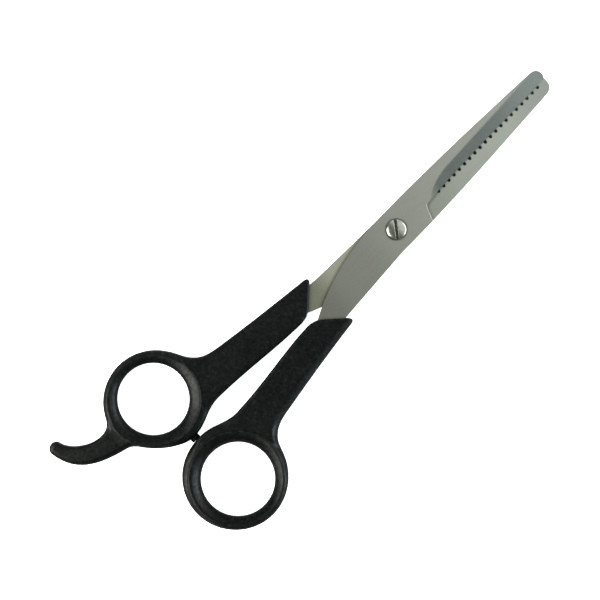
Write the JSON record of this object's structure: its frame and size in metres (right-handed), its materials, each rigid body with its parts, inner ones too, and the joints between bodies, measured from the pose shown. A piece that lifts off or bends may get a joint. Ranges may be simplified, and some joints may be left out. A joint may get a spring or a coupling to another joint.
{
  "type": "thinning shears",
  "caption": "Hair thinning shears: a solid blade and a toothed blade pivot on a slotted screw, with moulded ring handles and a finger rest.",
  "frame": {"origin": "on the pivot's axis, halfway between the two blades' flat faces", "axes": "+X along the closed blades to their tips, +Y to the finger ring's side, +Z along the pivot to the screw's head"},
  "size_m": [0.1874, 0.0653, 0.008],
  "materials": {
    "blade_steel": "satin ground, lengthways",
    "screw_steel": "polished",
    "handle_plastic": "fine moulded grain",
    "bumper_rubber": "matt"
  },
  "bodies": {
    "finger_half": {"toothed_blade": "blade_steel", "finger_handle": "handle_plastic", "bumper": "bumper_rubber"},
    "thumb_half": {"solid_blade": "blade_steel", "thumb_handle": "handle_plastic"},
    "washer": {"tension_washer": "screw_steel"},
    "screw": {"pivot_screw": "screw_steel"}
  },
  "joints": [
    {"name": "blade_pivot", "type": "hinge", "parent": "finger_half", "child": "thumb_half", "pos_m": [0, 0, 0], "axis": [0, 0, 1], "range_deg": [0, 150]},
    {"name": "tension_travel", "type": "slide", "parent": "finger_half", "child": "washer", "axis": [0, 0, 1], "range_m": [0, 0.00025]},
    {"name": "tension_turn", "type": "hinge", "parent": "washer", "child": "screw", "pos_m": [0, 0, 0], "axis": [0, 0, 1], "range_deg": [0, 180]}
  ],
  "couplings": [
    {"joint": "tension_turn", "follows": "tension_travel", "rad_per_m": 12566}
  ]
}
